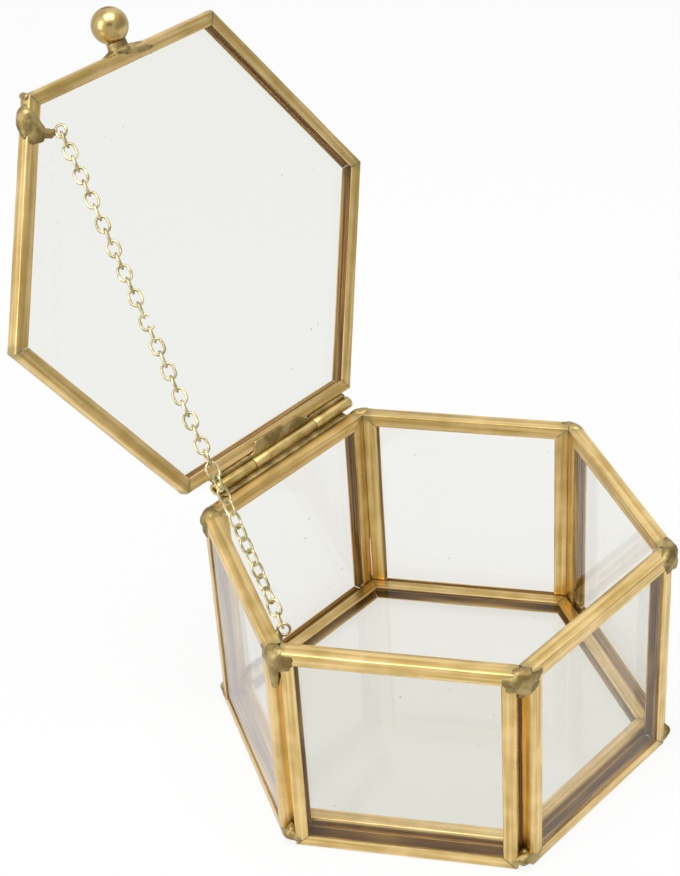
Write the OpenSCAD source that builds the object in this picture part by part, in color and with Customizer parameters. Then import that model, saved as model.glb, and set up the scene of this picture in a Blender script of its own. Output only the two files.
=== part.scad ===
// Hexagonal glass keepsake box: six glass walls, a glass base and a hinged
// glass lid, each held in a folded brass channel and soldered at the corners,
// with a ball knob and a fine cable chain that stops the lid.
// Millimetres. The hinge is at the back (+Y), +Z is up and the knob's side of
// the box is the front. The lid is drawn standing open on its chain. The origin
// is the middle of the whole part on the table. Each module draws about the
// middle of the hexagon, and placed() moves its piece from there.

/* [Body] */
// Width of one wall panel
wall_w = 47; // [40:0.5:60]
// Height of the walls
wall_h = 52.5; // [40:0.5:70]
// Thickness of a brass channel, over both of its flanges
came = 3.4; // [2.8:0.1:5]
// Width of a channel's flanges on the glass
flange = 3; // [2:0.1:5]
// Thickness of the brass sheet
sheet = 0.3; // [0.2:0.05:0.6]
// Height of the base panel's underside above the table
base_rise = 1.6; // [0.5:0.1:4]

/* [Lid] */
// Length of one side of the lid's outer edge
lid_side = 52.6; // [48:0.1:60]
// How far the lid sits towards the knob's side
lid_shift = 2.2; // [0:0.1:4]
// Gap between the closed lid and the walls, filled by the corner solder
lid_gap = 1; // [0.6:0.1:2]
// Angle from closed to open
lid_open = 112; // [90:1:120]

/* [Hinge] */
// Diameter of the hinge tube
tube_d = 2.8; // [2:0.1:4]
// Diameter of the hinge pin
pin_d = 1.2; // [0.8:0.1:2]
// Radial clearance of the pin in the lid's knuckle
pin_play = 0.05; // [0.02:0.01:0.1]
// Left end of the hinge
tube_start = -19.5; // [-23:0.1:-15]
// Right end of the hinge
tube_end = 24.3; // [18:0.1:25]
// Left end of the lid's knuckle
lid_knuckle_start = -7.3; // [-12:0.1:-4]
// Right end of the lid's knuckle
lid_knuckle_end = 12.2; // [8:0.1:16]

/* [Knob] */
// Diameter of the ball
knob_d = 8; // [6:0.1:12]
// Distance from the lid's edge to the ball's centre
knob_reach = 5.6; // [4.5:0.1:8]

/* [Chain] */
// Diameter of the chain's wire
wire_d = 0.58; // [0.4:0.02:0.8]
// Radius of a link's round ends, along the middle of the wire
link_r = 1.25; // [1:0.05:2]
// Length of a link's straight sides
link_straight = 0.9; // [0.4:0.1:2]
// Links of the lower run, which hangs from the body
lower_links = 24; // [16:1:30]
// Links of the upper run, which hangs from the lid
upper_links = 16; // [10:1:24]

/* [Hidden] */
// The middle of the whole part, lid open, lies this far behind the centre of the hexagon
middle_y = 21.844;
$fn = 48;
brass = [0.79, 0.62, 0.33];
solder = [0.60, 0.54, 0.32];
glass = [0.86, 0.90, 0.88, 0.35];
pane_play = 0.02;
mitre = 0.14;
mitre_start = sheet + 0.15;
eps = 0.01;

wall_in = wall_w * cos(30);
wall_out = wall_in + came;
base_out = wall_in - 0.03;
lid_out = lid_side * cos(30);
lid_floor = wall_h + lid_gap;

knuckle_gap = 0.2;
axis_y = wall_out + 1.7;
axis_z = lid_floor + 0.22;
bore_d = pin_d + 2 * pin_play;

// The chain's two anchor rings: one on the body, one on the closed lid
ring_body = [-43.05, 3.05, 51.7];
ring_lid_shut = [-23.4, lid_out - lid_shift - 81.9, lid_floor - 1.5];
lid_dy = ring_lid_shut[1] - axis_y;
lid_dz = ring_lid_shut[2] - axis_z;
ring_lid = [
    ring_lid_shut[0],
    axis_y + lid_dy * cos(lid_open) + lid_dz * sin(lid_open),
    axis_z - lid_dy * sin(lid_open) + lid_dz * cos(lid_open)
];
chain_span = norm(ring_lid - ring_body);
chain_dir = (ring_lid - ring_body) / chain_span;
chain_tilt = acos(chain_dir[2]);
chain_turn = atan2(chain_dir[1], chain_dir[0]);
// Links lie flat to the front left at this turn about the chain
chain_face = 154.9;
// From a ring's middle to the wire of the link that hangs in it
ring_seat = 0.6;
chain_links = lower_links + upper_links;
link_pitch = (chain_span - 2 * ring_seat) / chain_links;
// The lower links start side on to the body's ring, lie diagonally for a
// stretch and then turn flat
twist_step = 15;
twist_fall = 7.5;
// Each ring turns its face along the axis on which its run of chain swings
ring_body_face = [0.7824, 0.5649, -0.2621];
ring_lid_face_shut = [-0.817, -0.3291, -0.4735];
// Opening in the side of the link that joins the two runs
link_opening = 1.4;

// Directions of the outward normals of the walls at the body's chain corner
front_left = 210;
back_left = 150;

// A hexagonal slab with its corners on +X and every 60 degrees
module hex_slab(apothem, h) {
    cylinder(r = apothem / cos(30), h = h, $fn = 6);
}

// Stands children on the wall whose outward normal points at this angle
module placed(tone) {
    color(tone) translate([0, -middle_y, 0]) children();
}

module on_wall(angle) {
    rotate([0, 0, angle - 90]) translate([0, wall_in, 0]) children();
}

// Turns children from the closed lid's place to the open one
module lid_place() {
    translate([0, axis_y, axis_z]) rotate([-lid_open, 0, 0])
        translate([0, -axis_y, -axis_z]) children();
}

// Points local X outwards along the corner at this angle, from its inner edge
module at_corner(angle) {
    rotate([0, 0, angle]) translate([wall_w, 0, 0]) children();
}

// Points local Z along a direction
module along(dir) {
    rotate([0, acos(dir[2] / norm(dir)), atan2(dir[1], dir[0])]) children();
}

module wall_block(w, t, h, inset) {
    translate([-w / 2 + inset, inset, inset])
        cube([w - 2 * inset, t - 2 * inset, h - 2 * inset]);
}

// ---------- Walls ----------

// A brass channel folded round the four edges of a pane, with the cuts where
// its flanges meet at the corners
module wall_frame(angle) {
    placed(brass) on_wall(angle) difference() {
        wall_block(wall_w, came, wall_h, 0);
        translate([-wall_w / 2 + flange, -1, flange])
            cube([wall_w - 2 * flange, came + 2, wall_h - 2 * flange]);
        wall_block(wall_w, came, wall_h, sheet);
        for (side = [-1, 1], end = [-1, 1])
            translate([side * wall_w / 2, came / 2, (1 + end) * wall_h / 2])
                rotate([0, end * (90 + 45 * side), 0])
                    translate([mitre_start * sqrt(2), -came, -mitre / 2])
                        cube([(flange + mitre - mitre_start) * sqrt(2), 2 * came, mitre]);
    }
}

module wall_pane(angle) {
    inset = sheet + pane_play;
    placed(glass) on_wall(angle) wall_block(wall_w, came, wall_h, inset);
}

// ---------- Base ----------

module hex_frame(apothem) {
    mitre_in = (apothem - flange) / cos(30) - mitre;
    mitre_out = (apothem - mitre_start) / cos(30);
    difference() {
        hex_slab(apothem, came);
        translate([0, 0, -1]) hex_slab(apothem - flange, came + 2);
        translate([0, 0, sheet]) hex_slab(apothem - sheet, came - 2 * sheet);
        for (i = [0 : 5]) rotate([0, 0, 60 * i]) translate([mitre_in, -mitre / 2, -1])
            cube([mitre_out - mitre_in, mitre, came + 2]);
    }
}

module hex_pane(apothem) {
    inset = sheet + pane_play;
    translate([0, 0, inset]) hex_slab(apothem - inset, came - 2 * inset);
}

module base_frame() {
    placed(brass) translate([0, 0, base_rise]) hex_frame(base_out);
}

module base_pane() {
    placed(glass) translate([0, 0, base_rise]) hex_pane(base_out);
}

// ---------- Corner solder ----------

// One of the two walls that meet at a corner, seen from that corner
module corner_wall() {
    rotate([0, 0, 30]) translate([0, 0, -1]) cube([came + eps, 8, wall_h + 1 + eps]);
}

// A lump that fills the groove between two walls at the top and hangs down in
// it, and a smaller one at the foot
module corner_solder(angle, drop, lean, foot) {
    placed(solder) at_corner(angle) difference() {
        union() {
            hull() {
                translate([1.9, 0.9 + lean * 0.3, wall_h - 1.65]) sphere(2, $fn = 24);
                translate([1.9, lean * 0.3 - 0.9, wall_h - 1.65]) sphere(2, $fn = 24);
                translate([1.8, 0.6 - lean * 0.4, wall_h - 3.4]) sphere(1.6, $fn = 20);
                translate([1.8, -lean * 0.4 - 0.6, wall_h - 3]) sphere(1.5, $fn = 20);
                translate([1.6, lean * 0.2, wall_h - drop]) sphere(0.7, $fn = 16);
            }
            hull() {
                translate([1.5, 0, 1.9]) sphere(1.85, $fn = 24);
                translate([1.6, -lean * 0.2, foot]) sphere(0.8, $fn = 16);
            }
        }
        corner_wall();
        mirror([0, 1, 0]) corner_wall();
        translate([-8, -6, -1]) cube([8 + eps, 12, wall_h + 1 + eps]);
    }
}

// ---------- Hinge ----------

module tube(from, to, bore) {
    translate([from, axis_y, axis_z]) rotate([0, 90, 0]) difference() {
        cylinder(d = tube_d, h = to - from);
        translate([0, 0, -1]) cylinder(d = bore, h = to - from + 2);
    }
}

module hinge_knuckle_left() {
    placed(brass) tube(tube_start, lid_knuckle_start - knuckle_gap, bore_d);
}

module hinge_knuckle_right() {
    placed(brass) tube(lid_knuckle_end + knuckle_gap, tube_end, bore_d);
}

module hinge_knuckle_lid() {
    placed(brass) lid_place() tube(lid_knuckle_start, lid_knuckle_end, bore_d);
}

module hinge_pin() {
    recess = 1.2;
    placed(brass) translate([tube_start + recess, axis_y, axis_z]) rotate([0, 90, 0])
        cylinder(d = pin_d, h = tube_end - tube_start - 2 * recess);
}

// The fillet of solder between the back wall's channel and the hinge. It holds
// the two body knuckles and clears the lid's knuckle between them.
module hinge_solder_body() {
    from = tube_start + 0.6;
    to = tube_end - 2.8;
    placed(solder) difference() {
        hull() {
            for (x = [from + 0.8, lid_knuckle_start, lid_knuckle_end, to - 0.8]) {
                translate([x, axis_y - 0.9, axis_z - 1.5]) sphere(0.75, $fn = 16);
                translate([x, wall_out - 0.6, wall_h]) sphere(0.5, $fn = 16);
                translate([x, wall_out + 0.1, wall_h - 1.9]) sphere(0.5, $fn = 16);
            }
        }
        translate([tube_start, axis_y, axis_z]) rotate([0, 90, 0])
            cylinder(d = tube_d + 2 * eps, h = tube_end - tube_start);
        translate([lid_knuckle_start - knuckle_gap, axis_y, axis_z]) rotate([0, 90, 0])
            cylinder(d = tube_d + 0.3, h = lid_knuckle_end - lid_knuckle_start + 2 * knuckle_gap);
        translate([tube_start, wall_in, 0])
            cube([tube_end - tube_start, came + eps, wall_h + eps]);
    }
}

// Solder run along the lid's back edge, clear of a body knuckle
module lid_edge_bead(from, to) {
    edge_y = lid_out - lid_shift;
    placed(solder) lid_place() difference() {
        hull() for (x = [from + 0.5, to - 0.5]) {
            translate([x, edge_y + 0.4, lid_floor + 0.75]) sphere(0.5, $fn = 18);
            translate([x, edge_y + 0.1, lid_floor + 2.3]) sphere(0.4, $fn = 18);
        }
        translate([from - 1, edge_y - 8, lid_floor - eps])
            cube([to - from + 2, 8 + eps, came + 2 * eps]);
    }
}

// The patch of solder between the lid's back edge and its knuckle, which also
// laps under the flange
module hinge_solder_lid() {
    edge_y = lid_out - lid_shift;
    lid_edge_bead(tube_start + 0.4, lid_knuckle_start - 0.2);
    lid_edge_bead(lid_knuckle_end + 0.2, tube_end - 0.4);
    run = lid_knuckle_end - lid_knuckle_start;
    placed(solder) lid_place() translate([lid_knuckle_start, 0, 0]) difference() {
        hull() {
            translate([1, axis_y - 0.8, axis_z + 1.1]) sphere(0.8, $fn = 18);
            translate([run - 1.1, axis_y - 0.7, axis_z + 1.2]) sphere(0.85, $fn = 20);
            translate([1.2, edge_y + 0.3, lid_floor + came - 1]) sphere(0.6, $fn = 18);
            translate([run - 1.3, edge_y + 0.2, lid_floor + came - 0.9])
                sphere(0.7, $fn = 20);
            translate([2.6, edge_y - 1.7, lid_floor + 0.1]) sphere(0.4, $fn = 18);
            translate([run - 4, edge_y - 1.5, lid_floor + 0.05]) sphere(0.38, $fn = 20);
            translate([1.3, edge_y + 0.35, lid_floor + 0.35]) sphere(0.5, $fn = 18);
            translate([run - 1.6, edge_y + 0.3, lid_floor + 0.3]) sphere(0.5, $fn = 20);
        }
        translate([-1, axis_y, axis_z]) rotate([0, 90, 0])
            cylinder(d = tube_d + 2 * eps, h = run + 2);
        translate([-1, edge_y - 8, lid_floor - eps])
            cube([run + 2, 8 + eps, came + 2 * eps]);
    }
}

// ---------- Lid ----------

module lid_frame() {
    placed(brass) lid_place() translate([0, -lid_shift, lid_floor]) hex_frame(lid_out);
}

module lid_pane() {
    placed(glass) lid_place() translate([0, -lid_shift, lid_floor]) hex_pane(lid_out);
}

// The closing joint of the lid's channel, at its front left corner
module lid_corner_solder() {
    corner = lid_side;
    placed(solder) lid_place() translate([0, -lid_shift, lid_floor])
        rotate([0, 0, 240]) translate([corner, 0, 0]) difference() {
            hull() {
                translate([-0.5, 0.2, came - 0.5]) sphere(0.85, $fn = 20);
                translate([-0.4, -0.3, 0.9]) sphere(0.75, $fn = 20);
            }
            translate([-corner, 0, -eps]) hex_slab(lid_out + eps, came + 2 * eps);
        }
}

// ---------- Knob ----------

module at_knob() {
    lid_place() translate([0, -lid_out - lid_shift, lid_floor + came / 2]) children();
}

module knob_ball() {
    placed(brass) at_knob() translate([0, -knob_reach, 0]) sphere(d = knob_d, $fn = 96);
}

// The collar of solder that the ball sits in
module knob_neck() {
    neck_d = 4.4;
    foot_d = 4.9;
    placed(solder) at_knob() difference() {
        translate([0, -eps, 0]) rotate([90, 0, 0]) rotate_extrude()
            polygon([[0, 0], [foot_d / 2, 0], [foot_d / 2 - 0.1, 0.35], [neck_d / 2, 0.9],
                     [neck_d / 2, 2.3], [0, 2.3]]);
        translate([0, -knob_reach, 0]) sphere(d = knob_d + 2 * eps, $fn = 96);
    }
}

// ---------- Chain ----------

// One oval link in the Y-Z plane, long along Z
module chain_link() {
    rotate([90, 0, 90]) {
        for (side = [0, 1]) mirror([0, side, 0]) translate([0, link_straight / 2, 0])
            rotate_extrude(angle = 180) translate([link_r, 0]) circle(d = wire_d);
        for (x = [-link_r, link_r])
            translate([x, -link_straight / 2, 0]) rotate([-90, 0, 0])
                cylinder(d = wire_d, h = link_straight);
    }
}

// How far link i is turned about the chain from lying flat
function link_turn(i) =
    90 * (i % 2)
    + (i <= 3 ? 90 - twist_step * i : max(0, 45 - twist_fall * max(0, i - 9)));

module link_place(i) {
    translate(ring_body + chain_dir * (ring_seat + (i + 0.5) * link_pitch))
        rotate([0, chain_tilt, chain_turn])
            rotate([0, 0, chain_face + link_turn(i)]) children();
}

module chain_lower_run() {
    placed(brass) for (i = [0 : lower_links - 1]) link_place(i) chain_link();
}

// Its lowest link is an open one, through which it lets go of the lower run
module chain_upper_run() {
    placed(brass) {
        link_place(lower_links) difference() {
            chain_link();
            translate([0, link_r, 0])
                cube([2 * wire_d, 2 * wire_d, link_opening], center = true);
        }
        for (i = [lower_links + 1 : chain_links - 1]) link_place(i) chain_link();
    }
}

module ring() {
    rotate_extrude() translate([link_r, 0]) circle(d = wire_d);
}

// What the solder leaves free for a ring's wire
module ring_cut() {
    rotate_extrude() translate([link_r, 0]) circle(d = wire_d + 2 * eps);
}

module chain_ring_body() {
    placed(brass) translate(ring_body) along(ring_body_face) ring();
}

// Solder that holds the ring at the inside of the left corner
module chain_solder_body() {
    out = [cos(back_left), sin(back_left), 0];
    placed(solder) difference() {
        hull() {
            translate(ring_body + out * 1.45 + [0, 0, -0.3]) sphere(0.62, $fn = 20);
            translate(ring_body + out * 1.1 + [0.1, -0.2, -1.5]) sphere(0.6, $fn = 20);
            translate(ring_body + out * 1.9 + [-0.6, -1, -1.6]) sphere(0.9, $fn = 20);
            translate(ring_body + out * 1.7 + [-0.5, -0.9, -3.4]) sphere(0.6, $fn = 20);
        }
        translate(ring_body) along(ring_body_face) ring_cut();
        for (angle = [back_left, front_left])
            on_wall(angle) translate([-wall_w, -eps, 0])
                cube([2 * wall_w, came, wall_h + 5]);
    }
}

module chain_ring_lid() {
    placed(brass) lid_place() translate(ring_lid_shut) along(ring_lid_face_shut) ring();
}

// A long lump of solder on the lid's flange that reaches in over the glass to
// the ring. Over the top of the wall it is thinner than the lid's gap.
module chain_solder_lid() {
    edge = lid_out + lid_shift / 2;
    placed(solder) lid_place() difference() {
        rotate([0, 0, front_left - 90]) {
            hull() {
                for (x = [-24.1, -22.4])
                    translate([x, edge - 0.45, lid_floor + 1.5]) sphere(1.9, $fn = 24);
                translate([-18.9, edge - 1.2, lid_floor + 0.7]) sphere(1.1, $fn = 20);
                for (x = [-21.9, -19.6])
                    translate([x, edge - 3.4, lid_floor]) sphere(0.7, $fn = 20);
            }
            hull() {
                translate([-20.6, edge - 4.2, lid_floor - 0.15]) sphere(0.7, $fn = 20);
                translate([-20.7, edge - 5.6, lid_floor - 0.1]) sphere(0.65, $fn = 20);
                translate([-21.6, edge - 6.5, lid_floor - 0.1]) sphere(0.62, $fn = 20);
            }
        }
        translate([0, -lid_shift, lid_floor - eps]) difference() {
            hex_slab(lid_out + eps, came + 1);
            translate([0, 0, -1]) hex_slab(lid_out - flange, 1 + sheet);
        }
        translate(ring_lid_shut) along(ring_lid_face_shut) ring_cut();
    }
}

wall_pane(270);  // wall_pane_front
wall_pane(330);  // wall_pane_front_right
wall_pane(30);  // wall_pane_back_right
wall_pane(90);  // wall_pane_back
wall_pane(150);  // wall_pane_back_left
wall_pane(210);  // wall_pane_front_left
wall_frame(270);  // wall_frame_front
wall_frame(330);  // wall_frame_front_right
wall_frame(30);  // wall_frame_back_right
wall_frame(90);  // wall_frame_back
wall_frame(150);  // wall_frame_back_left
wall_frame(210);  // wall_frame_front_left
base_pane();
base_frame();
corner_solder(0, 5, 1, 3.4);  // corner_solder_right
corner_solder(60, 6, -1, 3);  // corner_solder_back_right
corner_solder(120, 5.5, 1, 3.2);  // corner_solder_back_left
corner_solder(180, 7, 1, 3.6);  // corner_solder_left
corner_solder(240, 6.5, -1, 3.5);  // corner_solder_front_left
corner_solder(300, 5, 1, 3.1);  // corner_solder_front_right
hinge_knuckle_left();
hinge_knuckle_right();
hinge_pin();
hinge_solder_body();
chain_ring_body();
chain_solder_body();
lid_pane();
lid_frame();
lid_corner_solder();
hinge_knuckle_lid();
hinge_solder_lid();
knob_ball();
knob_neck();
chain_ring_lid();
chain_solder_lid();
chain_lower_run();
chain_upper_run();
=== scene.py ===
import math

import bmesh
import bpy
from mathutils import Matrix, Vector, noise


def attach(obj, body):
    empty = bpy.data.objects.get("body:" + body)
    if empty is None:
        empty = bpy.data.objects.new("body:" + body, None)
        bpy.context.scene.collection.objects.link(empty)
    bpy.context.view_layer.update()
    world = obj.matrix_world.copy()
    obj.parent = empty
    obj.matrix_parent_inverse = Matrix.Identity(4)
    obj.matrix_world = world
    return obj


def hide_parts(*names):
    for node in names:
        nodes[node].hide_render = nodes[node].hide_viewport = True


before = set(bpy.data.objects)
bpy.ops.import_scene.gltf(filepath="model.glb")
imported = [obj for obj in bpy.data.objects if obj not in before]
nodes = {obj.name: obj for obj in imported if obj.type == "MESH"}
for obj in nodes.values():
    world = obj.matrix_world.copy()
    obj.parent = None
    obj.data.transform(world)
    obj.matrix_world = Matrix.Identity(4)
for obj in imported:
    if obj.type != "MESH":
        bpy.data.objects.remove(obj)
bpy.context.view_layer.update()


# ---------- Glass ----------
# Six wall panes, a hexagonal base pane and a hexagonal lid pane, all cut from
# clear float glass with ground edges. Each pane is pushed into its channel.

mm = 0.001
pane_tint = (0.946, 0.946, 0.93, 1)
base_tint = (0.92, 0.92, 0.893, 1)


class Wire:
    """An output socket in a material. Sums and products of wires and numbers
    add Math nodes, and add() makes any other node."""

    def __init__(self, tree, socket=None):
        self.tree, self.socket = tree, socket

    def add(self, kind, settings=None, sockets=None, out=0):
        node = self.tree.nodes.new(kind)
        for key, value in (settings or {}).items():
            setattr(node, key, value)
        for key, value in (sockets or {}).items():
            if isinstance(value, Wire):
                self.tree.links.new(value.socket, node.inputs[key])
            else:
                node.inputs[key].default_value = value
        return Wire(self.tree, node.outputs[out] if node.outputs else None)

    def maths(self, operation, *values):
        return self.add(
            "ShaderNodeMath", {"operation": operation}, dict(enumerate(values))
        )

    def __add__(self, other):
        return self.maths("ADD", self, other)

    def __mul__(self, other):
        return self.maths("MULTIPLY", self, other)

    def __sub__(self, other):
        return self.maths("SUBTRACT", self, other)

    def __rsub__(self, other):
        return self.maths("SUBTRACT", other, self)

    __radd__, __rmul__ = __add__, __mul__

    def between(self, low, high):
        """0 below low and 1 above high, with a smooth step."""
        return self.add(
            "ShaderNodeMapRange",
            {"interpolation_type": "SMOOTHSTEP"},
            {"Value": self, "From Min": low, "From Max": high},
        )

    def blend(self, first, second):
        """The colour first where this wire is 0, and second where it is 1."""
        return self.add(
            "ShaderNodeMix",
            {"data_type": "RGBA"},
            {"Factor": self, 6: first, 7: second},
            out=2,
        )

    def speckle(self, scale, detail, stretch=(1, 1, 1)):
        """Noise over this wire's vector."""
        place = self.add(
            "ShaderNodeMapping", {}, {"Vector": self, "Scale": stretch}
        )
        return self.add(
            "ShaderNodeTexNoise",
            {},
            {"Vector": place, "Scale": scale, "Detail": detail, "Roughness": 0.5},
        )


def new_finish(name):
    """A bare material, and the wire from which its nodes are made."""
    finish = bpy.data.materials.new(name)
    finish.use_nodes = True
    finish.node_tree.nodes.clear()
    return finish, Wire(finish.node_tree)


def metal_surface(start, colour, rough, metallic=1, relief=None):
    """Ends a material in metal of this colour, roughness and relief."""
    sockets = {"Base Color": colour, "Metallic": metallic, "Roughness": rough}
    if relief is not None:
        sockets["Normal"] = relief
    metal = start.add("ShaderNodeBsdfPrincipled", {}, sockets)
    start.add("ShaderNodeOutputMaterial", {}, {"Surface": metal})


def new_object(name, data):
    """An object in the scene that holds this data."""
    made = bpy.data.objects.new(name, data)
    bpy.context.scene.collection.objects.link(made)
    return made


def clear_glass(name, tint):
    finish, start = new_finish(name)
    place = start.add("ShaderNodeTexCoord", out=3)
    through = start.add("ShaderNodeBsdfTransparent", {}, {"Color": tint})
    shine = start.add(
        "ShaderNodeBsdfGlossy", {}, {"Color": (1, 1, 1, 1), "Roughness": 0.02}
    )
    slope = start.add("ShaderNodeLayerWeight", {}, {"Blend": 0.5}, out=1)
    mirrored = 0.04 + 0.96 * slope.maths("POWER", slope, 5.0)
    pane = start.add("ShaderNodeMixShader", {}, {0: mirrored, 1: through, 2: shine})
    dust = start.add(
        "ShaderNodeBsdfDiffuse", {}, {"Color": (0.62, 0.6, 0.56, 1)}
    )
    specks = place.speckle(700, detail=1).between(0.8, 0.84)
    dusty = start.add("ShaderNodeMixShader", {}, {0: specks * 0.6, 1: pane, 2: dust})
    start.add("ShaderNodeOutputMaterial", {}, {"Surface": dusty})
    return finish


pane_glass = clear_glass("clear_glass", pane_tint)
base_glass = clear_glass("base_glass", base_tint)

wall_names = ["front", "front_right", "back_right", "back", "back_left", "front_left"]
for pane in [nodes["wall_pane_" + name] for name in wall_names] + [nodes["lid_pane"]]:
    pane.data.materials.clear()
    pane.data.materials.append(pane_glass)
nodes["base_pane"].data.materials.clear()
nodes["base_pane"].data.materials.append(base_glass)


# ---------- Brass channels ----------
# Drawn U-section brass strip, 3.4 mm over its flanges, folded round each pane
# and mitred at its corners. Walls have four bars and base and lid have six.

wall_w = 47 * mm
wall_h = 52.5 * mm
came = 3.4 * mm
flange = 3 * mm
sheet = 0.3 * mm
base_rise = 1.6 * mm
lid_side = 52.6 * mm
lid_shift = 2.2 * mm
lid_floor = 53.5 * mm
lid_open = math.radians(112)
lid_apothem = lid_side * math.cos(math.radians(30))
wall_in = wall_w * math.cos(math.radians(30))
base_play = 0.03 * mm
base_out = wall_in - base_play
hinge_line = Vector((0, 45.803194 * mm, 53.72 * mm))
fold = 0.42 * mm
crown = 0.1 * mm
tight_fold = 0.1 * mm
mitre_slit = 0.14 * mm
mitre_start = 0.45 * mm
bar_steps = 36
# Steps crowd towards a bar's ends by this power. A bar wanders sideways, and has
# dents in the part of its section that is this near the web.
crowding = 1.4
wander = 0.05 * mm
dent = 0.07 * mm
dent_reach = 1.2 * mm
# The part's origin lies this far behind the middle of the hexagon, about which
# its pieces are drawn
to_origin = Matrix.Translation((0, -21.844 * mm, 0))


def brass_channel(name):
    """Drawn brass: lengthwise lines, a brown band of painted shade along each flange's
    edge against the glass, and olive flux stains near the soldered corners."""
    finish, start = new_finish(name)
    uv = start.add("ShaderNodeUVMap", {"uv_map": "bar"})
    place = start.add("ShaderNodeTexCoord", out=3)
    end_gap = start.add("ShaderNodeAttribute", {"attribute_name": "end_gap"}, out=2)
    across = uv.add("ShaderNodeSeparateXYZ", {}, {"Vector": uv}, out=1)
    depth = across.maths("ABSOLUTE", across) - came / 2
    lines = uv.speckle(1, detail=2, stretch=(30, 5200, 1))
    bands = uv.speckle(1, detail=1, stretch=(24, 850, 1))
    clouds = place.speckle(150, detail=4)
    blots = place.speckle(420, detail=3)
    worn = (lines * 0.16 + bands * 0.54 + clouds * 0.3).between(0.36, 0.62)
    gold = worn.blend((0.54, 0.365, 0.115, 1), (0.88, 0.65, 0.30, 1))
    # Painted shade: the flange darkens to brown towards its edge against the glass
    glass_edge_shade = (depth + blots * (0.5 * mm)).between(2.75 * mm, 3.2 * mm)
    shaded_gold = (glass_edge_shade * 0.35).blend(gold, (0.20, 0.12, 0.04, 1))
    stain = 1 - (end_gap + clouds * (5 * mm)).between(3.2 * mm, 5.2 * mm)
    stained = (stain * 0.75).blend(shaded_gold, (0.40, 0.32, 0.14, 1))
    rough = 0.24 + blots * 0.14 + stain * 0.12 + glass_edge_shade * 0.15
    relief = start.add(
        "ShaderNodeBump",
        {},
        {"Strength": 0.2, "Distance": 0.03 * mm, "Height": bands * 2 + clouds * 2},
    )
    metal_surface(start, stained, rough, relief=relief)
    return finish


def channel_inside(name):
    """The inside of a flange, painted dark brown for the shade it lies in, as seen
    through the glass.
    """
    finish, start = new_finish(name)
    uv = start.add("ShaderNodeUVMap", {"uv_map": "bar"})
    streaks = uv.speckle(1, detail=2, stretch=(28, 1700, 1)).between(0.36, 0.64)
    # Painted shade: brown streaks stand for the shade on the channel's inner faces
    brown = streaks.blend((0.24, 0.125, 0.03, 1), (0.95, 0.64, 0.24, 1))
    metal_surface(start, brown, 0.4, metallic=0.2)
    return finish


channel_brass = brass_channel("channel_brass")
inside_shade_brown = channel_inside("inside_shade_brown")


def arc(middle, radius, start, end, steps=5):
    """Points of a fold, in depth and thickness, from one angle to another."""
    turns = [math.radians(start + (end - start) * i / steps) for i in range(steps + 1)]
    return [
        (middle[0] + radius * math.cos(a), middle[1] + radius * math.sin(a))
        for a in turns
    ]


def channel_section(start_fold, start_crown):
    """The U section as (depth from the outer edge, thickness), outside first.
    The web is crowned a little, as a drawn strip is."""
    nip = 0.06 * mm
    slim = fold * 0.35
    outside = [(flange, nip), (flange - nip, 0), (flange * 0.6, 0.03 * mm)]
    outside += arc((start_fold + start_crown, start_fold), start_fold, 270, 195)
    for share in (0.25, 0.5, 0.75):
        drop = crown if share > 0.5 else start_crown
        outside.append((drop * (2 * share - 1) ** 2, came * share))
    outside += arc((fold + crown, came - fold), fold, 165, 90)
    outside += [
        (flange * 0.6, came - 0.03 * mm), (flange - nip, came), (flange, came - nip)
    ]
    inside = [(flange, came - sheet + nip), (flange - nip, came - sheet)]
    inside += arc((sheet + crown + slim, came - sheet - slim), slim, 90, 180, 3)
    inside += arc((sheet + crown + slim, sheet + slim), slim, 180, 270, 3)
    inside += [(flange - nip, sheet), (flange, sheet - nip)]
    return outside, inside


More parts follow.
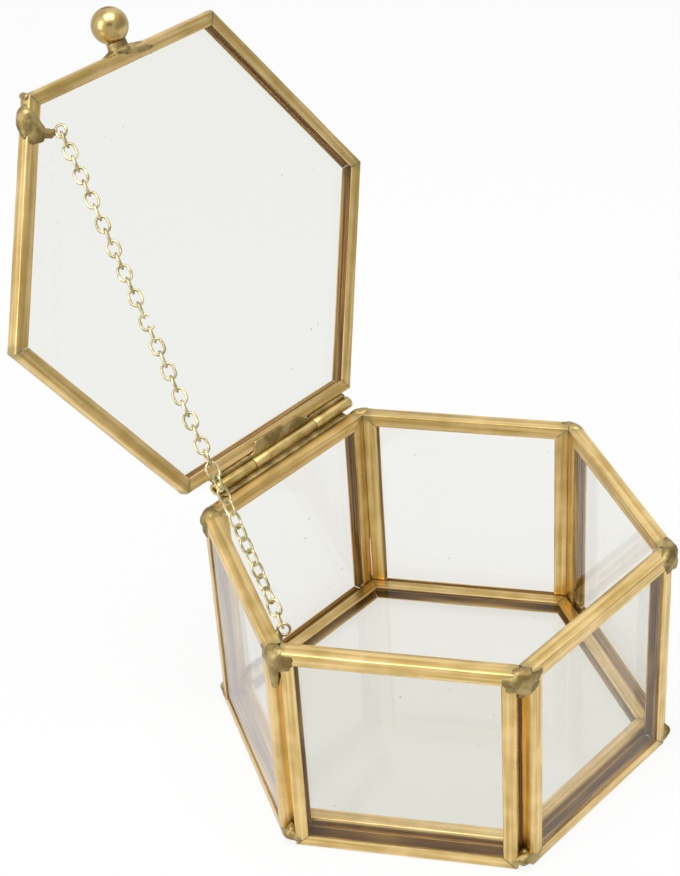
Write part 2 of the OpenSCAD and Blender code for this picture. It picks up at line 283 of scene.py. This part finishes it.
def channel_frame(node, body, corners, out, seed, start_fold=fold, start_crown=crown):
    """Bars of channel round a polygon. corners run anticlockwise as seen from
    the side that out points to, and the section starts at their plane."""
    outside, inside = channel_section(start_fold, start_crown)
    section = outside + inside
    walk = [0.0]
    for a, b in zip(outside, outside[1:]):
        walk.append(walk[-1] + math.dist(a, b))
    middle = walk[-1] / 2
    walk = [w - middle for w in walk] + [0.0] * len(inside)
    for i in range(len(inside)):
        opposite = len(outside) - 1 - i * len(outside) // len(inside)
        walk[len(outside) + i] = walk[opposite]
    slant = math.tan(math.pi / 2 - math.pi * (0.5 - 1 / len(corners)))
    made = bmesh.new()
    uv_layer = made.loops.layers.uv.new("bar")
    gap_layer = made.verts.layers.float.new("end_gap")
    for side, (first, last) in enumerate(zip(corners, corners[1:] + corners[:1])):
        along = (last - first).normalized()
        inwards = out.cross(along)
        half = (last - first).length / 2
        rows = []
        for step in range(bar_steps + 1):
            share = 2 * step / bar_steps - 1
            share = math.copysign(1 - (1 - abs(share)) ** crowding, share)
            row = []
            for (depth, thick), arc_place in zip(section, walk):
                cut = depth * slant
                if depth > mitre_start:
                    cut += mitre_slit / 2 / math.cos(math.atan(slant))
                reach = share * (half - cut)
                wave = noise.noise(Vector((reach * 90, side * 9.7 + seed, 0)))
                bend = wave * wander * (1 - share ** 4)
                spot = Vector((reach * 140, side * 5.3, seed + thick * 500))
                sunk = max(0, noise.noise(spot)) * dent * (1 - share ** 4)
                deeper = depth + sunk + bend if depth < dent_reach else depth + bend
                place = (
                    (first + last) / 2 + along * reach
                    + inwards * max(0, deeper) + out * thick
                )
                vert = made.verts.new(place)
                vert[gap_layer] = half - abs(reach)
                row.append((vert, reach, arc_place))
            rows.append(row)
        count = len(section)
        for near, far in zip(rows, rows[1:]):
            for i in range(count):
                j = (i + 1) % count
                ring = [near[i], near[j], far[j], far[i]]
                face = made.faces.new([corner[0] for corner in ring])
                face.smooth = True
                # Faces inside the channel take the second material, the painted shade
                face.material_index = int(len(outside) <= i < count - 1)
                for loop, corner in zip(face.loops, ring):
                    loop[uv_layer].uv = (corner[1], corner[2])
        # The cut ends, one quad for each step round the section
        for row in (rows[0], rows[-1]):
            for i in range(len(outside) - 1):
                partner = [
                    count - 1 - k * len(inside) // len(outside) for k in (i, i + 1)
                ]
                ring = [row[i], row[i + 1], row[partner[1]], row[partner[0]]]
                used = list(dict.fromkeys(corner[0] for corner in ring))
                if len(used) > 2:
                    made.faces.new(used)
    bmesh.ops.recalc_face_normals(made, faces=made.faces)
    mesh = bpy.data.meshes.new(node + "_drawn")
    made.to_mesh(mesh)
    made.free()
    mesh.transform(to_origin)
    mesh.materials.append(channel_brass)
    mesh.materials.append(inside_shade_brown)
    mesh.set_sharp_from_angle(angle=math.radians(40))
    piece = new_object(node + "_drawn", mesh)
    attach(piece, body)
    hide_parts(node)


def lid_opened(point):
    """Where a point of the closed lid is when the lid stands open."""
    return hinge_line + Matrix.Rotation(-lid_open, 3, "X") @ (point - hinge_line)


def hexagon(apothem, middle):
    """Corners of a hexagon with two sides across Y, anticlockwise from +X."""
    reach = apothem / math.cos(math.radians(30))
    turns = [math.radians(60 * i) for i in range(6)]
    return [middle + reach * Vector((math.cos(a), math.sin(a), 0)) for a in turns]


for seed, (name, angle) in enumerate(zip(wall_names, (270, 330, 30, 90, 150, 210))):
    turned = Matrix.Rotation(math.radians(angle - 90), 3, "Z")
    half_w = wall_w / 2
    outline = [
        turned @ Vector((x, wall_in, z))
        for x, z in ((-half_w, 0), (-half_w, wall_h), (half_w, wall_h), (half_w, 0))
    ]
    # The walls touch along the inner edges of their channels
    channel_frame(
        "wall_frame_" + name, "body", outline, turned @ Vector((0, 1, 0)), seed * 3.1,
        tight_fold, 0,
    )
channel_frame(
    "base_frame", "body", hexagon(base_out, Vector((0, 0, base_rise))),
    Vector((0, 0, 1)), 21.4,
)
lid_corners = [
    lid_opened(corner)
    for corner in hexagon(lid_apothem, Vector((0, -lid_shift, lid_floor)))
]
channel_frame(
    "lid_frame", "lid", lid_corners,
    Matrix.Rotation(-lid_open, 3, "X") @ Vector((0, 0, 1)), 33.8,
)


# ---------- Solder ----------
# Soft solder under a brass-coloured plating. Lumps fill the grooves where two
# walls meet, hold the hinge and the chain's rings, and close the lid's channel.

lump_voxel = 0.16 * mm
lump_wave = 0.16 * mm
lump_grain = 420
run_step = 0.3 * mm
weld = 0.002 * mm


def plated_solder(name):
    finish, start = new_finish(name)
    place = start.add("ShaderNodeTexCoord", out=3)
    clouds = place.speckle(330, detail=4)
    grain = place.speckle(1500, detail=2)
    tone = clouds.between(0.35, 0.68)
    olive = tone.blend((0.22, 0.155, 0.055, 1), (0.47, 0.365, 0.16, 1))
    relief = start.add(
        "ShaderNodeBump",
        {},
        {"Strength": 0.35, "Distance": 0.12 * mm, "Height": clouds * 2 + grain * 0.4},
    )
    metal_surface(start, olive, 0.36 + grain * 0.2, relief=relief)
    return finish


solder_olive = plated_solder("solder_olive")


def merged_copy(node, name):
    """A CAD node's loose triangles, joined into one mesh."""
    joined = bmesh.new()
    joined.from_mesh(nodes[node].data)
    bmesh.ops.remove_doubles(joined, verts=joined.verts, dist=weld)
    mesh = bpy.data.meshes.new(name)
    joined.to_mesh(mesh)
    joined.free()
    return new_object(name, mesh)


def freeze(piece):
    """Makes the piece's modifiers into plain mesh."""
    shape = piece.evaluated_get(bpy.context.evaluated_depsgraph_get())
    mesh = bpy.data.meshes.new_from_object(shape)
    piece.modifiers.clear()
    piece.data = mesh


def solder_lump(
    node, body, wave=lump_wave, voxel=lump_voxel, runs=(), plump=0, relax_steps=6
):
    """A lump with the CAD solid's place and size, melted round and uneven. Each
    of its runs is a row of middles and radii, along which solder ran further, and
    plump is how far its whole surface swells."""
    piece = merged_copy(node, node + "_melted")
    pool = bmesh.new()
    pool.from_mesh(piece.data)
    for run in runs:
        for (start, wide), (end, narrow) in zip(run, run[1:]):
            steps = 1 + int((end - start).length / run_step)
            for step in range(steps + 1):
                spot = to_origin @ Matrix.Translation(start.lerp(end, step / steps))
                radius = wide + (narrow - wide) * step / steps
                bmesh.ops.create_icosphere(
                    pool, subdivisions=2, radius=radius, matrix=spot
                )
    pool.to_mesh(piece.data)
    pool.free()
    remesh = piece.modifiers.new("melt", "REMESH")
    remesh.mode = "VOXEL"
    remesh.voxel_size = voxel
    relax = piece.modifiers.new("relax", "SMOOTH")
    relax.iterations = relax_steps
    relax.factor = 0.6
    freeze(piece)
    grown = []
    for vert in piece.data.vertices:
        swell = noise.fractal(vert.co * lump_grain, 1.0, 2.0, 3)
        grown.extend(vert.co + vert.normal * (swell * wave + plump))
    piece.data.vertices.foreach_set("co", grown)
    piece.data.update()
    for face in piece.data.polygons:
        face.use_smooth = True
    piece.data.materials.clear()
    piece.data.materials.append(solder_olive)
    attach(piece, body)
    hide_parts(node)


# Solder that ran over the two flanges beside each corner, as places across the
# corner and below the wall's top, and radii, all in millimetres
corner_runs = (
    ((3.3, 1.4, 1.2), (1.4, 1.4, 1.6), (-1.4, 1.5, 1.6), (-3.2, 1.6, 1.2)),
    ((3.0, 2.6, 1.2), (-2.9, 2.7, 1.2)),
    ((2.6, 3.9, 1.2), (0.6, 4.1, 1.6), (-2.5, 3.7, 1.2)),
    ((1.9, 50.5, 1.1), (0, 50, 1.4), (-1.9, 50.5, 1.1)),
)
# How far below the top it ran down each corner's groove, in millimetres
short_drip = 4.2
drips = {"left": 8.6, "front_right": 4.8, "front_left": 4.4, "back_left": 5.2}
corner_names = [
    "right", "back_right", "back_left", "left", "front_left", "front_right",
]
# The tangent of 30 degrees, and the share of a run's radius under the surface
face_slope = 0.577
bury = 0.8
most_lean = 0.8


def corner_spot(turn, across, below, radius):
    """A place on a corner where this radius stands a little proud."""
    face = (came / mm) / math.cos(math.radians(30)) - abs(across) * face_slope
    reach = wall_w / mm + face - radius * bury
    spot = Vector((reach, across, wall_h / mm - below)) * mm
    return Matrix.Rotation(math.radians(turn), 3, "Z") @ spot, radius * mm


for step, corner in enumerate(corner_names):
    runs = []
    for number, row in enumerate(corner_runs):
        lean = most_lean * noise.noise(Vector((step * 3.7, number * 5.1, 0.4)))
        runs.append([
            corner_spot(60 * step, across + lean * 0.5, below + lean * 0.7, radius)
            for across, below, radius in row
        ])
    drip = drips.get(corner, short_drip)
    runs.append([
        corner_spot(60 * step, 0.2, 3.4, 1.4), corner_spot(60 * step, 0.3, drip, 0.9)
    ])
    solder_lump("corner_solder_" + corner, "body", runs=runs, relax_steps=12)

# A dark brown strip closes the root of each groove, but for a stretch at the back
# right
groove_strip_w = 0.4 * mm
groove_strip_run = (0.8 * mm, 52 * mm)
groove_strip_gap = (4 * mm, 17 * mm)
seams = bmesh.new()
for turn in range(0, 360, 60):
    runs = [groove_strip_run]
    if turn == 60:
        runs = [(groove_strip_run[0], groove_strip_gap[0]), (groove_strip_gap[1], groove_strip_run[1])]
    for foot, head in runs:
        stick = bmesh.ops.create_cube(seams, size=1)["verts"]
        bmesh.ops.scale(seams, vec=(groove_strip_w, groove_strip_w, head - foot), verts=stick)
        bmesh.ops.translate(
            seams, vec=(wall_w + groove_strip_w * 0.6, 0, (foot + head) / 2), verts=stick
        )
        bmesh.ops.rotate(
            seams, matrix=Matrix.Rotation(math.radians(turn), 3, "Z"), verts=stick
        )
seam_mesh = bpy.data.meshes.new("groove_dark_strip")
seams.to_mesh(seam_mesh)
seams.free()
seam_mesh.transform(to_origin)
groove_strip_plain, groove_strip_start = new_finish("groove_strip_plain")
metal_surface(groove_strip_start, (0.11, 0.06, 0.02, 1), 0.5, metallic=0.3)
seam_mesh.materials.append(groove_strip_plain)
groove_dark_strip = new_object("groove_dark_strip", seam_mesh)
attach(groove_dark_strip, "body")


def lid_run(turn, apothem, spots):
    """A run on a side of the lid, each spot as its place along the side, outwards
    from the edge and up from the lid's underside, and its radius."""
    turned = Matrix.Rotation(math.radians(turn), 3, "Z")
    made = []
    for along, outwards, up, radius in spots:
        spot = Vector((along, 0, 0)) * mm + Vector((0, apothem + outwards * mm, 0))
        spot = turned @ spot + Vector((0, 0, lid_floor + up * mm))
        made.append((lid_opened(spot), radius * mm))
    return made


solder_lump("lid_corner_solder", "lid", wave=0.08 * mm, voxel=0.1 * mm)


# ---------- Hinge ----------
# Three lengths of brass tube on a pin: the outer two are soldered to the back
# wall's channel and the middle one to the lid's back edge.

def drawn_tube_brass(name):
    finish, start = new_finish(name)
    place = start.add("ShaderNodeTexCoord", out=3)
    lines = place.speckle(1, detail=3, stretch=(90, 2200, 2200))
    clouds = place.speckle(260, detail=4)
    tone = (lines * 0.4 + clouds * 0.6).between(0.36, 0.64)
    gold = tone.blend((0.44, 0.31, 0.09, 1), (0.76, 0.59, 0.25, 1))
    relief = start.add(
        "ShaderNodeBump",
        {},
        {"Strength": 0.2, "Distance": 0.05 * mm, "Height": lines + clouds},
    )
    metal_surface(start, gold, 0.22 + clouds * 0.2, relief=relief)
    return finish


tube_brass = drawn_tube_brass("tube_brass")


def turned_piece(node, body, finish, edge):
    """A copy of a turned CAD piece with smooth sides and its edges broken."""
    piece = merged_copy(node, node + "_turned")
    tidy = bmesh.new()
    tidy.from_mesh(piece.data)
    bmesh.ops.dissolve_limit(
        tidy, angle_limit=math.radians(1), verts=tidy.verts, edges=tidy.edges
    )
    tidy.to_mesh(piece.data)
    tidy.free()
    if edge:
        broken = piece.modifiers.new("broken edge", "BEVEL")
        broken.width = edge
        broken.segments = 2
        broken.limit_method = "ANGLE"
        broken.angle_limit = math.radians(40)
        freeze(piece)
    for face in piece.data.polygons:
        face.use_smooth = True
    piece.data.set_sharp_from_angle(angle=math.radians(35))
    piece.data.materials.clear()
    piece.data.materials.append(finish)
    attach(piece, body)
    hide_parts(node)


turned_piece("hinge_knuckle_left", "body", tube_brass, 0.08 * mm)
turned_piece("hinge_knuckle_right", "body", tube_brass, 0.08 * mm)
turned_piece("hinge_pin", "body", tube_brass, 0.1 * mm)
turned_piece("hinge_knuckle_lid", "lid", tube_brass, 0.08 * mm)
solder_lump("hinge_solder_body", "body", wave=0.07 * mm, voxel=0.12 * mm)
# Two beads close the gap between the lid's edge and the outer tubes. They reach
# about 0.1 mm into the tubes.
hinge_beads = [
    lid_run(0, lid_apothem - lid_shift, (
        (start, 0.65, 0.5, 0.45), (end, 0.65, 0.5, 0.45),
    ))
    for start, end in ((-18.8, -6.6), (11.4, 23.6))
]
solder_lump(
    "hinge_solder_lid", "lid", wave=0.08 * mm, voxel=0.12 * mm, runs=hinge_beads,
    plump=0.1 * mm, relax_steps=14,
)


# ---------- Knob ----------
# A polished brass ball, 8 mm across, in a collar of solder at the middle of
# the lid's front edge.

def polished_brass(name):
    finish, start = new_finish(name)
    place = start.add("ShaderNodeTexCoord", out=3)
    clouds = place.speckle(240, detail=3)
    tone = clouds.between(0.4, 0.62)
    gold = tone.blend((0.42, 0.30, 0.11, 1), (0.62, 0.47, 0.21, 1))
    metal_surface(start, gold, 0.2 + clouds * 0.14)
    return finish


turned_piece("knob_ball", "lid", polished_brass("knob_brass"), 0)
# The solder under the ball runs out along the edge, further to the right
neck_run = lid_run(180, lid_apothem + lid_shift, (
    (4.6, -1.6, 1.7, 1.65), (2.4, -1, 1.7, 1.75), (0, -0.4, 1.7, 1.85),
    (-2.6, -0.9, 1.6, 1.8), (-5.2, -1.35, 1.5, 1.7), (-7.6, -1.7, 1.5, 1.55),
))
solder_lump(
    "knob_neck", "lid", wave=0.1 * mm, voxel=0.1 * mm, runs=[neck_run],
    relax_steps=16,
)


# ---------- Chain ----------
# Fine brass cable chain of 40 oval links, which hangs from a ring on the lid and
# a ring at the box's left corner. Its two runs meet at a link with an opening.

wire_d = 0.58 * mm
link_r = 1.25 * mm
link_straight = 0.9 * mm
lower_links = 24
upper_links = 16
ring_seat = 0.6 * mm
chain_face = math.radians(154.9)
link_opening = 1.4 * mm
ring_body = Vector((-43.05, 3.05, 51.7)) * mm
ring_lid = Vector((-23.4, 75.8066, 132.5725)) * mm
ring_body_face = Vector((0.7824, 0.5649, -0.2621))
ring_lid_face = Vector((-0.817, -0.3157, 0.4825))
span = ring_lid - ring_body
link_pitch = (span.length - 2 * ring_seat) / (lower_links + upper_links)
# The twist in degrees at the first link, how much it fades with each link until
# it is held, the link at which it fades again, and how much it fades from there
foot_twist = 90.0
early_fade = 15.0
held_twist = 45.0
late_link = 9.0
late_fade = 7.5


def chain_brass(name):
    finish, start = new_finish(name)
    place = start.add("ShaderNodeTexCoord", out=3)
    clouds = place.speckle(500, detail=3)
    tone = clouds.between(0.38, 0.64)
    pale = tone.blend((0.40, 0.34, 0.16, 1), (0.76, 0.68, 0.42, 1))
    metal_surface(start, pale, 0.28 + clouds * 0.14)
    return finish


link_brass = chain_brass("chain_brass")


def link_tree():
    """Nodes that stand oval links in a row up the Z axis. Link number i is
    turned a quarter from the last, plus a twist that fades up the chain."""
    tree = bpy.data.node_groups.new("cable_chain", "GeometryNodeTree")
    face = tree.interface
    face.new_socket("Geometry", in_out="OUTPUT", socket_type="NodeSocketGeometry")
    sizes = {
        "Links": "NodeSocketInt", "First Link": "NodeSocketInt",
        "Open First": "NodeSocketBool", "Pitch": "NodeSocketFloat",
        "Seat": "NodeSocketFloat", "Radius": "NodeSocketFloat",
        "Straight": "NodeSocketFloat", "Wire": "NodeSocketFloat",
        "Opening": "NodeSocketFloat", "Face": "NodeSocketFloat",
        "Brass": "NodeSocketMaterial",
    }
    for name, kind in sizes.items():
        face.new_socket(name, in_out="INPUT", socket_type=kind)
    given = tree.nodes.new("NodeGroupInput").outputs

    def add(kind, settings=None, sockets=None, out=0):
        node = tree.nodes.new(kind)
        for key, value in (settings or {}).items():
            setattr(node, key, value)
        for key, value in (sockets or {}).items():
            if isinstance(value, bpy.types.NodeSocket):
                tree.links.new(value, node.inputs[key])
            else:
                node.inputs[key].default_value = value
        return node.outputs[out]

    def maths(operation, *values):
        return add("ShaderNodeMath", {"operation": operation}, dict(enumerate(values)))

    def drawn_long(curve):
        """Pulls the two halves of a round curve in X-Y apart along Y."""
        spot = add("GeometryNodeInputPosition")
        place = add("ShaderNodeSeparateXYZ", {}, {0: spot}, 1)
        half = maths("MULTIPLY", given["Straight"], 0.5)
        apart = maths("MULTIPLY", maths("SIGN", place), half)
        shift = add("ShaderNodeCombineXYZ", {}, {"Y": apart})
        return add(
            "GeometryNodeSetPosition", {}, {"Geometry": curve, "Offset": shift}
        )

    def wired(curve):
        wire = add(
            "GeometryNodeCurvePrimitiveCircle", {},
            {"Resolution": 8, "Radius": maths("MULTIPLY", given["Wire"], 0.5)},
        )
        return add(
            "GeometryNodeCurveToMesh", {},
            {"Curve": curve, "Profile Curve": wire, "Fill Caps": True},
        )

    # The open link's gap is centred on the X axis, in one of its straight sides
    closed = add(
        "GeometryNodeCurvePrimitiveCircle", {},
        {"Resolution": 26, "Radius": given["Radius"]},
    )
    gap = maths("DIVIDE", given["Opening"], given["Radius"])
    opened = add(
        "GeometryNodeCurveArc", {"mode": "RADIUS"},
        {
            "Resolution": 25, "Radius": given["Radius"],
            "Start Angle": maths("MULTIPLY", gap, 0.5),
            "Sweep Angle": maths("SUBTRACT", math.tau, gap),
        },
    )
    shut_link, open_link = wired(drawn_long(closed)), wired(drawn_long(opened))

    index = add("GeometryNodeInputIndex")
    number = maths("ADD", index, given["First Link"])
    climbed = maths("MULTIPLY", maths("ADD", number, 0.5), given["Pitch"])
    height = maths("ADD", given["Seat"], climbed)
    spots = add("ShaderNodeCombineXYZ", {}, {"Z": height})
    points = add(
        "GeometryNodePoints", {}, {"Count": given["Links"], "Position": spots}
    )
    faded = maths("MULTIPLY", number, early_fade)
    early = maths("MAXIMUM", held_twist, maths("SUBTRACT", foot_twist, faded))
    past = maths("MAXIMUM", 0.0, maths("SUBTRACT", number, late_link))
    late = maths("MULTIPLY", past, late_fade)
    twist = maths("MAXIMUM", 0.0, maths("SUBTRACT", early, late))
    quarter = maths("MULTIPLY", maths("MODULO", number, 2.0), 90.0)
    turn = maths("ADD", given["Face"], maths("RADIANS", maths("ADD", quarter, twist)))
    upright = {"X": math.pi / 2, "Y": 0.0, "Z": maths("ADD", turn, math.pi / 2)}
    angles = add("ShaderNodeCombineXYZ", {}, upright)
    stand = add("FunctionNodeEulerToRotation", {}, {0: angles})
    first = add(
        "FunctionNodeCompare", {"data_type": "INT", "operation": "EQUAL"},
        {2: index, 3: 0},
    )
    is_open = add(
        "FunctionNodeBooleanMath", {"operation": "AND"},
        {0: first, 1: given["Open First"]},
    )
    is_shut = add("FunctionNodeBooleanMath", {"operation": "NOT"}, {0: is_open})
    rows = [
        add(
            "GeometryNodeInstanceOnPoints", {},
            {
                "Points": points, "Selection": chosen, "Instance": link,
                "Rotation": stand,
            },
        )
        for chosen, link in ((is_shut, shut_link), (is_open, open_link))
    ]
    joined = tree.nodes.new("GeometryNodeJoinGeometry")
    for row in rows:
        tree.links.new(row, joined.inputs[0])
    real = add("GeometryNodeRealizeInstances", {}, {0: joined.outputs[0]})
    smooth = add("GeometryNodeSetShadeSmooth", {}, {0: real})
    brassed = add(
        "GeometryNodeSetMaterial", {}, {0: smooth, "Material": given["Brass"]}
    )
    result = tree.nodes.new("NodeGroupOutput")
    tree.links.new(brassed, result.inputs[0])
    return tree


chain_tree = link_tree()


def chain_run(node, body, first, count, open_first):
    """One stiff run of the chain, as count links from number first."""
    row = new_object(node + "_links", bpy.data.meshes.new(node + "_links"))
    chain = row.modifiers.new("links", "NODES")
    chain.node_group = chain_tree
    sizes = {
        "Links": count, "First Link": first, "Open First": open_first,
        "Pitch": link_pitch, "Seat": ring_seat, "Radius": link_r,
        "Straight": link_straight, "Wire": wire_d, "Opening": link_opening,
        "Face": chain_face, "Brass": link_brass,
    }
    for item in chain_tree.interface.items_tree:
        if item.in_out == "INPUT":
            chain[item.identifier] = sizes[item.name]
    row.data.update()
    freeze(row)
    tilt = Matrix.Rotation(math.acos(span.z / span.length), 4, "Y")
    turn = Matrix.Rotation(math.atan2(span.y, span.x), 4, "Z")
    row.data.transform(to_origin @ Matrix.Translation(ring_body) @ turn @ tilt)
    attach(row, body)
    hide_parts(node)


def jump_ring(node, body, middle, facing):
    """A round ring of the chain's wire, with its axis along facing."""
    ring = bmesh.new()
    steps, sides = 40, 10
    turned = facing.to_track_quat("Z", "Y").to_matrix()
    rows = []
    for i in range(steps):
        a = 2 * math.pi * i / steps
        row = []
        for j in range(sides):
            b = 2 * math.pi * j / sides
            reach = link_r + wire_d / 2 * math.cos(b)
            rise = wire_d / 2 * math.sin(b)
            spot = Vector((reach * math.cos(a), reach * math.sin(a), rise))
            row.append(ring.verts.new(middle + turned @ spot))
        rows.append(row)
    for i in range(steps):
        for j in range(sides):
            near, far, k = rows[i], rows[(i + 1) % steps], (j + 1) % sides
            ring.faces.new([near[j], far[j], far[k], near[k]])
    bmesh.ops.recalc_face_normals(ring, faces=ring.faces)
    mesh = bpy.data.meshes.new(node + "_bent")
    ring.to_mesh(mesh)
    ring.free()
    mesh.transform(to_origin)
    for face in mesh.polygons:
        face.use_smooth = True
    mesh.materials.append(link_brass)
    piece = new_object(node + "_bent", mesh)
    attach(piece, body)
    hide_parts(node)


jump_ring("chain_ring_body", "body", ring_body, ring_body_face)
jump_ring("chain_ring_lid", "lid", ring_lid, ring_lid_face)
chain_run("chain_lower_run", "chain_lower", 0, lower_links, False)
chain_run("chain_upper_run", "chain_upper", lower_links, upper_links, True)
solder_lump("chain_solder_body", "body", wave=0.12 * mm, voxel=0.1 * mm)
# Three lobes: up to the lid's corner, down the edge and in towards the ring
side_apothem = lid_apothem + lid_shift / 2
lobes = [
    lid_run(120, side_apothem, ((-24.9, -0.5, 1.5, 1.5), (-22.6, -0.8, 1.2, 1.8))),
    lid_run(120, side_apothem, ((-22.6, -1, 1.2, 1.7), (-19.1, -1.5, 1, 1.3))),
    lid_run(120, side_apothem, (
        (-21.8, -2, 0.6, 1.2), (-21, -3.8, 0.15, 0.95), (-21.3, -5.2, 0, 0.75),
    )),
]
solder_lump(
    "chain_solder_lid", "lid", wave=0.16 * mm, voxel=0.1 * mm, runs=lobes,
    relax_steps=8,
)


# ---------- Table, light and camera ----------
# A white sweep lit by large soft boxes, and the photograph's view: from the
# front left, a third of the way up.

floor_half = 3.0
eye = Vector((-0.2601943, -0.2479761, 0.3100666))
look = Vector((0.5941, 0.5738, -0.5637))
right = Vector((0.666, -0.7439, -0.0552))
shown_white = 0.86


def seen_rays(start):
    """1 for what the camera sees, also in a mirror or through glass."""
    rays = start.add("ShaderNodeLightPath").socket.node.outputs
    straight, mirrored, through = [
        Wire(start.tree, rays[kind])
        for kind in ("Is Camera Ray", "Is Glossy Ray", "Is Transmission Ray")
    ]
    return straight + mirrored + through


def white_sweep(name):
    """Pale floor that shows white behind the box and keeps its faint shadow."""
    finish, start = new_finish(name)
    shown = seen_rays(start) * shown_white
    pale = start.add("ShaderNodeBsdfDiffuse", {}, {"Color": (0.9, 0.9, 0.9, 1)})
    white = start.add(
        "ShaderNodeEmission", {}, {"Color": (1, 1, 1, 1), "Strength": 1.0}
    )
    mixed = start.add("ShaderNodeMixShader", {}, {0: shown, 1: pale, 2: white})
    start.add("ShaderNodeOutputMaterial", {}, {"Surface": mixed})
    return finish


bpy.ops.mesh.primitive_plane_add(size=2 * floor_half, location=(0, 0, 0))
floor = bpy.context.object
floor.name = "sweep"
floor.data.materials.append(white_sweep("sweep_white"))

world = bpy.data.worlds.new("studio")
bpy.context.scene.world = world
world.use_nodes = True
world.node_tree.nodes.clear()
sky = Wire(world.node_tree)
backdrop, fill = [
    sky.add("ShaderNodeBackground", {}, {"Color": (1, 1, 1, 1), "Strength": strength})
    for strength in (1.0, 0.5)
]
behind = sky.add("ShaderNodeMixShader", {}, {0: seen_rays(sky), 1: fill, 2: backdrop})
sky.add("ShaderNodeOutputWorld", {}, {"Surface": behind})


def aimed(place, aim, axis):
    """The turn that points this axis of an object at place towards aim."""
    return (Vector(aim) - Vector(place)).to_track_quat(axis, "Y").to_euler()


def soft_box(name, place, aim, wide, high, power):
    lamp = bpy.data.lights.new(name, "AREA")
    lamp.shape = "RECTANGLE"
    lamp.size, lamp.size_y, lamp.energy = wide, high, power
    piece = new_object(name, lamp)
    piece.location = place
    piece.rotation_euler = aimed(place, aim, "-Z")


soft_box("top_box", (-0.1, -0.122, 0.9), (0, 0, 0.05), 0.7, 0.5, 5.0)
soft_box("left_box", (-0.9, 0.228, 0.45), (0, -0.022, 0.06), 0.35, 0.7, 3.0)


def studio_card(name, place, aim, wide, high, grey):
    """A card that only reflections show, as the darker parts of a studio do."""
    bpy.ops.mesh.primitive_plane_add(size=1)
    card = bpy.context.object
    card.name = name
    card.scale = (wide, high, 1)
    card.location = place
    card.rotation_euler = aimed(place, aim, "Z")
    finish, start = new_finish(name + "_card")
    shade = start.add(
        "ShaderNodeEmission", {}, {"Color": (grey, grey, grey, 1), "Strength": 1.0}
    )
    start.add("ShaderNodeOutputMaterial", {}, {"Surface": shade})
    card.data.materials.append(finish)
    card.visible_camera = card.visible_diffuse = False
    card.visible_transmission = card.visible_shadow = False
    card.visible_volume_scatter = False


studio_card("front_card", (0.3, -0.38, 0.26), (0, 0.03, 0.26), 1.0, 0.5, 0.6)
studio_card("back_card", (0.6, 0.778, 0.5), (0, -0.022, 0.08), 0.5, 0.25, 0.12)
studio_card("room_card", (-0.7, -0.772, 0.75), (0, -0.022, 0.06), 0.8, 0.3, 0.1)

lens = bpy.data.cameras.new("camera")
lens.sensor_fit = "HORIZONTAL"
lens.sensor_width = 36
lens.lens = 108.01
lens.shift_x = -0.00325
lens.shift_y = 0.01204
lens.clip_start = 0.01
camera = new_object("camera", lens)
up = right.cross(look).normalized()
side = look.cross(up).normalized()
turned = Matrix((side, up, -look.normalized())).transposed()
camera.matrix_world = Matrix.Translation(eye) @ turned.to_4x4()
bpy.context.scene.camera = camera
bpy.context.scene.view_settings.view_transform = "Standard"
